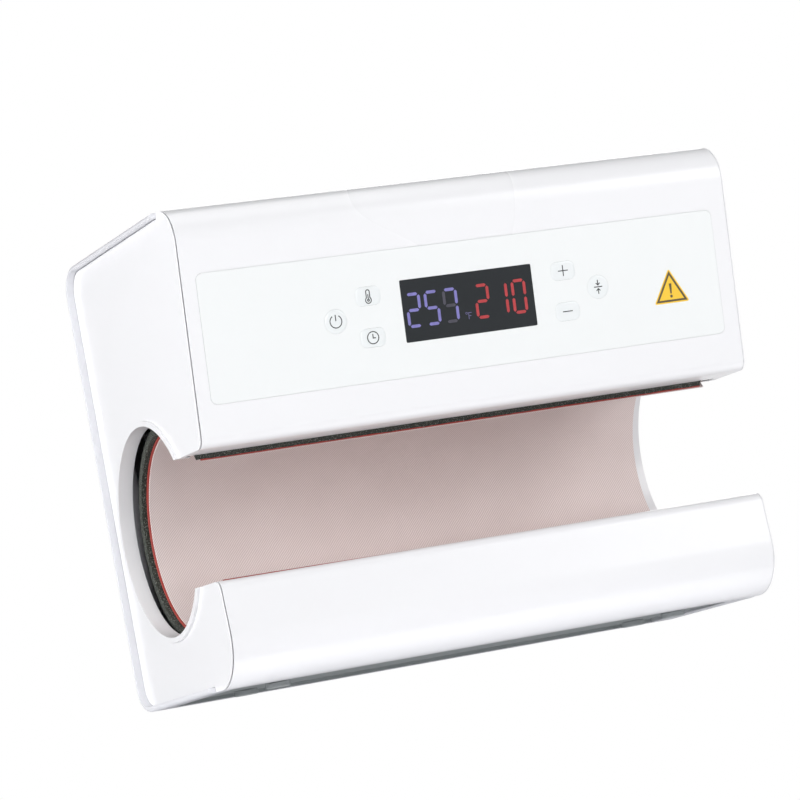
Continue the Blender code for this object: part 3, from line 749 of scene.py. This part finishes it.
def make_upper_cover(mats):
    cover = prism_x("upper_cover_moulding", ribbon(upper_path, COVER_WALL), *cover_span())
    bevel(cover, EDGE_R)
    size = (2 * OVERLAY_HALF + 2 * GAP, OVERLAY_SPAN[1] - OVERLAY_SPAN[0] + 2 * GAP)
    edge = rounded_rectangle((0, 0), size, OVERLAY_R + GAP)
    pocket = plate_z("helper", edge, -OVERLAY_THICK - GAP, CUT_ABOVE)
    combine(cover, on_panel(pocket, 0, sum(OVERLAY_SPAN) / 2), "DIFFERENCE")
    opening = plate_z("helper", window_outline(GAP), -CUT_DEPTH, CUT_ABOVE)
    combine(cover, on_panel(opening, 0, sum(WINDOW_SPAN) / 2), "DIFFERENCE")
    for x, up, shape, _icon in KEYS.values():
        hole = plate_z("helper", key_outline(shape, GAP), -CUT_DEPTH, CUT_ABOVE)
        combine(cover, on_panel(hole, x, up), "DIFFERENCE")
    settle(cover)
    dress(cover, "housing", "white_shell", mats["white"], "upper_front_cover")


def make_lower_cover(mats):
    cover = prism_x("lower_cover_moulding", ribbon(lower_path, COVER_WALL), *cover_span())
    bevel(cover, EDGE_R)
    settle(cover)
    dress(cover, "housing", "white_shell", mats["white"], "lower_front_cover")


# ---------------------------------------------------------------- control panel


def make_film(mats):
    """Printed film over the panel, open at the window and with a slit round each key."""
    height = OVERLAY_SPAN[1] - OVERLAY_SPAN[0]
    size = (2 * OVERLAY_HALF + 2 * FILM_MARGIN, height + 2 * FILM_MARGIN)
    edge = rounded_rectangle((0, 0), size, OVERLAY_R + FILM_MARGIN)
    film = plate_z("panel_film", edge, -OVERLAY_THICK, 0)
    on_panel(film, 0, sum(OVERLAY_SPAN) / 2)
    opening = plate_z("helper", window_outline(KEY_SEAM), -CUT_DEPTH, CUT_ABOVE)
    combine(film, on_panel(opening, 0, sum(WINDOW_SPAN) / 2), "DIFFERENCE")
    for x, up, shape, _icon in KEYS.values():
        hole = plate_z("helper", key_outline(shape, KEY_SEAM), -CUT_DEPTH, CUT_ABOVE)
        combine(film, on_panel(hole, x, up), "DIFFERENCE")
    settle(film)
    dress(film, "housing", "overlay_film", mats["film"], "control_overlay")


def make_window(mats):
    window = plate_z("display_glass", window_outline(0.0), -WINDOW_THICK, 0)
    bevel(window, 0.15, 2)
    settle(window)
    on_panel(window, 0, sum(WINDOW_SPAN) / 2)
    dress(window, "housing", "smoked_window", mats["glass"], "display_window")


def key_ring(shape, grow, out):
    return [(x, y, out) for x, y in key_outline(shape, grow)]


def make_key(name, x, up, shape, mats):
    """A soft key: level with the film at its edge and a little proud in the middle."""
    foot = -KEY_THICK + KEY_PROUD
    rings = [key_ring(shape, 0.0, foot), key_ring(shape, 0.0, 0.0)]
    for share in CROWN_SHARES:
        rise = KEY_PROUD * share * share * (3 - 2 * share)
        rings.append(key_ring(shape, -KEY_CROWN * share, rise))
    key = loft(f"{name}_pad", rings)
    settle(key, 50.0)
    on_panel(key, x, up)
    dress(key, f"{name}_body", "overlay_film", mats["key"], name)


def add_stroke(bm, points, width, low, high, closed=False):
    """Adds a thin line of ink along a path, with mitred corners."""
    count = len(points)
    left, right = [], []
    for i, point in enumerate(points):
        here = Vector(point)
        before = Vector(points[i - 1]) if (i or closed) else None
        after = Vector(points[(i + 1) % count]) if (i < count - 1 or closed) else None
        ways = []
        if before is not None:
            ways.append((here - before).normalized())
        if after is not None:
            ways.append((after - here).normalized())
        along = sum(ways, Vector((0.0, 0.0))).normalized()
        side = Vector((-along.y, along.x))
        reach = width / 2 / max(MITRE_LIMIT, along.dot(ways[0]))
        left.append(here + side * reach)
        right.append(here - side * reach)
    if not closed:
        outline = left + right[::-1]
        add_prism(bm, [(p.x, p.y, low) for p in outline], (0, 0, high - low))
        return
    rails = []
    for rail, z in ((left, low), (left, high), (right, high), (right, low)):
        rails.append([bm.verts.new((p.x, p.y, z)) for p in rail])
    for first, second in zip(rails, rails[1:] + rails[:1]):
        for i in range(count):
            j = (i + 1) % count
            bm.faces.new((first[i], first[j], second[j], second[i]))


# Each icon is a list of strokes: (points, closed)


def power_icon():
    return [(arc((0, 0), 3.5, 122, 418, 8), False), ([(0, 0.3), (0, 3.7)], False)]


def thermometer_icon():
    bulb = arc((0, -2.3), 1.7, 128, 412, 12)
    stem = arc((0, 2.4), 1.05, 0, 180, 15)
    return [(bulb + stem, True), (circle((0, -2.3), 0.55, 14), True), ([(0, -1.7), (0, 1.0)], False)]


def clock_icon():
    return [(circle((0, 0), 3.35, 36), True), ([(0, 2.1), (0, -0.2), (1.6, -0.2)], False)]


def plus_icon():
    return [([(-3.1, 0), (3.1, 0)], False), ([(0, -3.1), (0, 3.1)], False)]


def minus_icon():
    return [([(-3.1, 0), (3.1, 0)], False)]


def clamp_icon():
    """Two arrows that close on a bar."""
    strokes = [([(-2.6, 0), (2.6, 0)], False)]
    for side in (1, -1):
        strokes.append(([(0, side * 4.0), (0, side * 1.1)], False))
        strokes.append(([(-1.2, side * 2.2), (0, side * 1.0), (1.2, side * 2.2)], False))
    return strokes


def make_icon(name, x, up, draw, mats):
    bm = bmesh.new()
    for points, closed in draw():
        add_stroke(bm, points, ICON_LINE, KEY_PROUD, KEY_PROUD + INK, closed)
    icon = mesh_object(f"{name}_icon", bm)
    settle(icon, 30.0, even=False)
    on_panel(icon, x, up)
    dress(icon, f"{name}_body", "part_black", mats["ink"])


# Each key: its middle on the panel, its outline and its icon
KEYS = {
    "key_power": (-81.0, 58.0, "round", power_icon),
    "key_temperature": (-60.2, 69.6, "pad", thermometer_icon),
    "key_timer": (-60.2, 46.6, "pad", clock_icon),
    "key_plus": (60.2, 69.6, "pad", plus_icon),
    "key_minus": (60.2, 46.6, "pad", minus_icon),
    "key_clamp": (81.0, 58.0, "round", clamp_icon),
}

# Display: digits of seven segments, from a (top) clockwise to f, and g in the middle
DIGIT_LOW = 48.9
DIGIT_HIGH = 68.3
DIGIT_WIDTH = 9.0
SEGMENT = 1.7
SEGMENT_GAP = 0.5
SEGMENTS_ON = {"0": "abcdef", "1": "bc", "2": "abged", "5": "afgcd", "7": "abc"}
GHOSTS = {"7": "fgd"}
# Each digit shown: its left edge on the panel and its light
READOUT = (
    ("2", -38.2, "blue_light"),
    ("5", -26.9, "blue_light"),
    ("7", -15.6, "blue_light"),
    ("2", 3.9, "red_light"),
    ("1", 15.4, "red_light"),
    ("0", 26.9, "red_light"),
)


def pointed_bar(start, end):
    """Corners of a bar with pointed ends, as (along, aside) pairs."""
    half = SEGMENT / 2
    return [
        (start, 0.0),
        (start + half, half),
        (end - half, half),
        (end, 0.0),
        (end - half, -half),
        (start + half, -half),
    ]


def segment_outline(letter, left):
    """Corners of one segment of a digit."""
    middle = (DIGIT_LOW + DIGIT_HIGH) / 2
    half = SEGMENT / 2
    x0, x1 = left + half, left + DIGIT_WIDTH - half
    levels = {"a": DIGIT_HIGH - half, "g": middle, "d": DIGIT_LOW + half}
    if letter in levels:
        bar = pointed_bar(x0 + SEGMENT_GAP, x1 - SEGMENT_GAP)
        return [(along, levels[letter] + aside) for along, aside in bar]
    x = x0 if letter in "ef" else x1
    low, high = (middle, DIGIT_HIGH - half) if letter in "bf" else (DIGIT_LOW + half, middle)
    bar = pointed_bar(low + SEGMENT_GAP, high - SEGMENT_GAP)
    return [(x + aside, along) for along, aside in bar]


def make_lights(name, outlines, light, mats):
    bm = bmesh.new()
    for outline in outlines:
        add_prism(bm, [(x, y, 0.0) for x, y in outline], (0, 0, INK))
    lights = mesh_object(name, bm)
    settle(lights, 30.0, even=False)
    on_panel(lights, 0, 0)
    dress(lights, "housing", "smoked_window", mats[light])


def make_readout(mats):
    for i, (digit, left, light) in enumerate(READOUT):
        shown = [segment_outline(letter, left) for letter in SEGMENTS_ON[digit]]
        make_lights(f"display_digit_{i}", shown, light, mats)
        ghosts = [segment_outline(letter, left) for letter in GHOSTS.get(digit, "")]
        if ghosts:
            make_lights(f"display_ghost_{i}", ghosts, "ghost_light", mats)
    bm = bmesh.new()
    add_stroke(bm, circle((-2.2, 53.0), 0.55, 14), 0.3, 0.0, INK, True)
    for points in (((0, 49.6), (0, 53.2), (1.9, 53.2)), ((0, 51.5), (1.5, 51.5))):
        add_stroke(bm, [(x - 1.0, y) for x, y in points], 0.4, 0.0, INK)
    unit = mesh_object("display_unit", bm)
    settle(unit, 30.0, even=False)
    on_panel(unit, 0, 0)
    dress(unit, "housing", "smoked_window", mats["faint_light"])


BADGE_CENTRE = (127.0, 49.9)
BADGE_REACH = 11.56
BADGE_CORNER = 0.8


def triangle(inset):
    """A triangle, point up, with round corners."""
    points = []
    for corner in (90, 210, 330):
        centre = on_circle((0, 0), BADGE_REACH - 2 * max(0.0, inset - BADGE_CORNER), corner)
        points += arc(centre, max(0.05, BADGE_CORNER - inset), corner - 60, corner + 60, 15)
    return points


def make_badge(mats):
    """Yellow triangle with a dark border, a bar and a dot."""
    label = plate_z("badge_label", triangle(0.0), 0.0, INK)
    on_panel(label, *BADGE_CENTRE)
    settle(label, 30.0, even=False)
    dress(label, "housing", "badge_yellow", mats["yellow"], "warning_badge")
    bm = bmesh.new()
    outer, inner = triangle(0.75), triangle(2.0)
    rails = []
    for rail, z in ((outer, INK), (outer, 2 * INK), (inner, 2 * INK), (inner, INK)):
        rails.append([bm.verts.new((x, y, z)) for x, y in rail])
    for first, second in zip(rails, rails[1:] + rails[:1]):
        for i in range(len(first)):
            j = (i + 1) % len(first)
            bm.faces.new((first[i], first[j], second[j], second[i]))
    bar = [(-0.85, 4.6), (0.85, 4.6), (0.45, -1.2), (-0.45, -1.2)]
    add_prism(bm, [(x, y, INK) for x, y in bar], (0, 0, INK))
    add_prism(bm, [(x, y, INK) for x, y in circle((0, -2.7), 0.85, 20)], (0, 0, INK))
    marks = mesh_object("badge_marks", bm)
    settle(marks, 30.0, even=False)
    on_panel(marks, *BADGE_CENTRE)
    dress(marks, "housing", "badge_yellow", mats["brown"])


# ---------------------------------------------------------------- mat


def spaced(low, high, step):
    count = max(1, round((high - low) / step))
    return [low + (high - low) * i / count for i in range(count + 1)]


def layer_section(inner, outer, span, step, radial):
    """(X, radius) round one layer's cross-section, with its corners slightly round."""
    soft = min(LAYER_CORNER, (outer - inner) / 3)
    low, high = span
    along = spaced(low + soft, high - soft, step)
    rise = spaced(inner + soft, outer - soft, radial)
    section = [(x, inner) for x in along]
    section += [(high, r) for r in rise]
    section += [(x, outer) for x in along[::-1]]
    section += [(low, r) for r in rise[::-1]]
    return section


def tilted(degrees, x, span):
    """The lower edge stands a little lower towards the right end."""
    share = max(0.0, 1.0 - (degrees - MAT_BOTTOM_DEG) / EDGE_TILT_REACH)
    return degrees + EDGE_TILT_DEG * share * (x - span[0]) / (span[1] - span[0])


def frayed(point, fuzz):
    """Moves a point of a cut edge about, and along X only inwards."""
    x, y, z = point
    shift = noise.noise_vector(Vector(point) * FRAY_SCALE) * fuzz
    side = 1 if x > 0 else -1
    return (x + side * min(0.0, shift.x), y + shift.y, z + shift.z)


def make_layer(name, size, step, radial, fuzz, material, slot, *nodes):
    """One mat layer as a single sheet from the upper to the lower edge of the slot."""
    inner, outer, span = size
    section = layer_section(inner, outer, span, step, radial)
    turns = spaced(MAT_BOTTOM_DEG, MAT_TOP_DEG, LAYER_STEP_DEG)
    rings = []
    for degrees in turns:
        ring = []
        for x, radius in section:
            point = (x, *on_circle(MAT_CENTRE, radius, tilted(degrees, x, span)))
            at_side = x < span[0] + FRAY_REACH or x > span[1] - FRAY_REACH
            if fuzz and (at_side or degrees in (turns[0], turns[-1])):
                point = frayed(point, fuzz)
            ring.append(point)
        rings.append(ring)
    bm = bmesh.new()
    loops = add_loft(bm, rings)
    spot = {}
    for degrees, loop in zip(turns, loops):
        for (x, radius), vert in zip(section, loop):
            spot[vert] = (x * MM, radius * math.radians(degrees) * MM)
    uv = bm.loops.layers.uv.new("flat")
    for face in bm.faces:
        for corner in face.loops:
            corner[uv].uv = spot[corner.vert]
    layer = mesh_object(name, bm)
    settle(layer, 50.0)
    layer.data.materials.clear()
    layer.data.materials.append(material)
    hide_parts(*nodes)
    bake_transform(layer)
    return layer


def make_mat(mats):
    # Without a seed of its own, Blender takes one from the clock, and each run would differ
    noise.seed_set(FRAY_SEED)
    heater = make_layer(
        "heater_mat_rubber", MAT_HEATER, 10.0, 0.5, 0.12, mats["red"], "silicone_red",
        "heater_mat_fixed", "heater_mat_jaw",
    )
    foam = make_layer(
        "insulation_felt", MAT_FOAM, 3.0, 0.5, 0.45, mats["foam"], "foam_grey",
        "insulation_fixed", "insulation_jaw",
    )
    cloth = make_layer(
        "mat_sheet_cloth", MAT_SHEET, 10.0, 0.3, 0.0, mats["cloth"], "mat_sheet",
        "mat_cover_fixed", "mat_cover_jaw",
    )


# ---------------------------------------------------------------- base, inlet and lead screw


def make_base(mats):
    low, high = BASE_Z
    front, rear = BOTTOM_SEAM_Y + GAP, BASE_REAR_Y - GAP
    # The rim along the rear edge is a dark grey skirt standing for the shade inside the shell's back wall:
    # painted shade.
    outline = [
        (front, low),
        (rear - SHADE_RIM_WALL, low),
        (rear - SHADE_RIM_WALL, SHADE_RIM_Z),
        (rear, SHADE_RIM_Z),
        (rear, high),
        (front, high),
    ]
    base = prism_x("base_moulding", outline, BASE_X[0] + GAP, BASE_X[1] - GAP)
    bevel(base, 0.3, 2)
    for sign in (-1, 1):
        for y in SCREW_PLACES.values():
            spot = circle((sign * BASE_SCREW_X, y), BASE_SCREW_R + GAP, 28)
            combine(base, plate_z("helper", spot, low - CLEAR, high + CLEAR), "DIFFERENCE")
    settle(base)
    dress(base, "housing", "base_grey", mats["base"], "base_plate")
    for side, sign in (("left", -1), ("right", 1)):
        for end, y in FOOT_PLACES.items():
            pad = lathe_z(f"foot_pad_{end}_{side}", (sign * FOOT_X, y), FOOT_PROFILE)
            settle(pad, 45.0)
            dress(pad, "housing", "rubber_foot", mats["rubber"], f"foot_{end}_{side}")
        for end, y in SCREW_PLACES.items():
            profile = HEAD_PROFILE + SHANK_PROFILE
            screw = lathe_z(f"base_fixing_{end}_{side}", (sign * BASE_SCREW_X, y), profile, 24)
            settle(screw, 45.0)
            dress(screw, "housing", "zinc_steel", mats["zinc"], f"base_screw_{end}_{side}")


def make_inlet(mats):
    outline = rounded_rectangle((INLET_X, INLET_Z), INLET_BODY, INLET_R)
    body = prism_y("inlet_moulding", outline, BACK - INLET_DEPTH, BACK)
    socket = rounded_rectangle((INLET_X, INLET_Z), INLET_SOCKET, SOCKET_R)
    combine(body, prism_y("helper", socket, BACK - SOCKET_DEPTH, BACK + CLEAR), "DIFFERENCE")
    bevel(body, 0.4, 2)
    settle(body)
    dress(body, "housing", "part_black", mats["black"], "mains_inlet")
    bm = bmesh.new()
    width, length, height = BLADE
    for dx, dz in BLADE_PLACES:
        corners = rounded_rectangle((INLET_X + dx, INLET_Z + dz), (width, height), 0.4)
        add_prism(bm, [(x, BACK - SOCKET_DEPTH, z) for x, z in corners], (0, length, 0))
    blades = mesh_object("inlet_blades", bm)
    bevel(blades, 0.2, 2)
    settle(blades)
    dress(blades, "housing", "motor_steel", mats["steel"])


def make_lead_screw(mats):
    """Four-start screw: the radius swings with the turn and the height."""
    rings = []
    for z in spaced(SCREW_SPAN[0], SCREW_SPAN[1], SCREW_STEP):
        ring = []
        for i in range(SCREW_SIDES):
            share = i / SCREW_SIDES * THREAD_STARTS - z * THREAD_STARTS / THREAD_PITCH
            swing = abs((share % 1.0) * 2 - 1)
            depth = THREAD_DEPTH * min(1.0, max(0.0, THREAD_SLOPE * swing - THREAD_CREST))
            x, y = on_circle((0, DRIVE_Y), SCREW_R - depth, 360.0 * i / SCREW_SIDES)
            ring.append((x, y, z))
        rings.append(ring)
    screw = loft("lead_screw_thread", rings)
    settle(screw, 50.0)
    dress(screw, "screw", "motor_steel", mats["steel"], "lead_screw")


# ---------------------------------------------------------------- CAD nodes that keep their shape


NODE_FINISHES = {
    "black": ("display_module", "thermal_cutout", "heater_relay", "terminal_block",
              "open_limit_switch", "closed_limit_switch"),
    "board": ("control_board", "power_board"),
    "zinc": ("left_side_frame", "right_side_frame", "rear_tie_bar", "lower_tie_bar", "cradle_plate",
             "jaw_plate", "left_jaw_lug", "right_jaw_lug", "motor_bracket", "electronics_tray"),
    "steel": ("hinge_rod", "gearmotor", "motor_shaft", "motor_coupling"),
    "brass": ("nut_carriage", "thermistor"),
    "winding": ("transformer",),
}


def finish_cad_nodes(mats):
    for finish, names in NODE_FINISHES.items():
        for name in names:
            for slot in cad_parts[name].material_slots:
                slot.material = mats[finish]


# ---------------------------------------------------------------- studio


def make_floor(mats):
    bm = bmesh.new()
    corners = [(x * FLOOR_REACH, y * FLOOR_REACH, 0) for x, y in ((-1, -1), (1, -1), (1, 1), (-1, 1))]
    bm.faces.new([bm.verts.new(corner) for corner in corners])
    floor = mesh_object("studio_floor", bm)
    if floor.data.polygons[0].normal.z < 0:
        floor.data.flip_normals()
    floor.data.materials.append(mats["floor"])


def make_world():
    """White to the eye, and a dimmer white as light."""
    world = bpy.data.worlds.new("studio")
    world.use_nodes = True
    tree = world.node_tree
    tree.nodes.clear()
    rays = tree.nodes.new("ShaderNodeLightPath")
    seen = tree.nodes.new("ShaderNodeBackground")
    seen.inputs["Color"].default_value = (1.0, 1.0, 1.0, 1.0)
    light = tree.nodes.new("ShaderNodeBackground")
    light.inputs["Color"].default_value = (0.97, 0.98, 1.0, 1.0)
    light.inputs["Strength"].default_value = SKY_STRENGTH
    mixer = tree.nodes.new("ShaderNodeMixShader")
    output = tree.nodes.new("ShaderNodeOutputWorld")
    tree.links.new(rays.outputs["Is Camera Ray"], mixer.inputs["Fac"])
    tree.links.new(light.outputs["Background"], mixer.inputs[1])
    tree.links.new(seen.outputs["Background"], mixer.inputs[2])
    tree.links.new(mixer.outputs["Shader"], output.inputs["Surface"])
    bpy.context.scene.world = world


# Each light: its place, its side and its power in watts
LIGHTS = {
    "left_softbox": ((-1900, -250, 500), 1300, 35.0),
    "front_softbox": ((-300, -2200, 400), 1200, 18.0),
    "right_front_softbox": ((1500, -1600, 800), 1300, 18.6),
    "top_softbox": ((0, -200, 1900), 1600, 12.0),
    "under_softbox": ((500, -200, -1600), 1400, 12.5),
    "back_softbox": ((1100, 2000, 600), 1400, 16.0),
}
LIGHT_AIM = Vector((0, 0, 120)) * MM


def make_lights_rig():
    for name, (place, size, power) in LIGHTS.items():
        lamp = bpy.data.lights.new(name, "AREA")
        lamp.shape = "SQUARE"
        lamp.size = size * MM
        lamp.energy = power
        obj = bpy.data.objects.new(name, lamp)
        obj.location = Vector(place) * MM
        obj.rotation_mode = "QUATERNION"
        obj.rotation_quaternion = (LIGHT_AIM - obj.location).to_track_quat("-Z", "Y")
        obj.visible_camera = False
        bpy.context.scene.collection.objects.link(obj)


def make_camera():
    data = bpy.data.cameras.new("photo_camera")
    data.lens = CAMERA_LENS
    camera = bpy.data.objects.new("photo_camera", data)
    back = Vector((
        math.sin(CAMERA_AZIMUTH) * math.cos(CAMERA_ELEVATION),
        -math.cos(CAMERA_AZIMUTH) * math.cos(CAMERA_ELEVATION),
        math.sin(CAMERA_ELEVATION),
    ))
    camera.location = Vector(CAMERA_PLACE) * MM
    camera.rotation_mode = "QUATERNION"
    roll = Quaternion((0, 0, 1), CAMERA_ROLL)
    camera.rotation_quaternion = (-back).to_track_quat("-Z", "Y") @ roll
    bpy.context.scene.collection.objects.link(camera)
    bpy.context.scene.camera = camera


# ---------------------------------------------------------------- build


def build():
    bpy.context.scene.view_settings.view_transform = "Standard"
    make_camera()
    mats = make_materials()
    make_shell(mats)
    make_caps(mats)
    make_upper_cover(mats)
    make_lower_cover(mats)
    make_film(mats)
    make_window(mats)
    for name, (x, up, shape, draw) in KEYS.items():
        make_key(name, x, up, shape, mats)
        make_icon(name, x, up, draw, mats)
    make_readout(mats)
    make_badge(mats)
    make_mat(mats)
    make_base(mats)
    make_inlet(mats)
    make_lead_screw(mats)
    finish_cad_nodes(mats)
    make_floor(mats)
    make_world()
    make_lights_rig()


build()
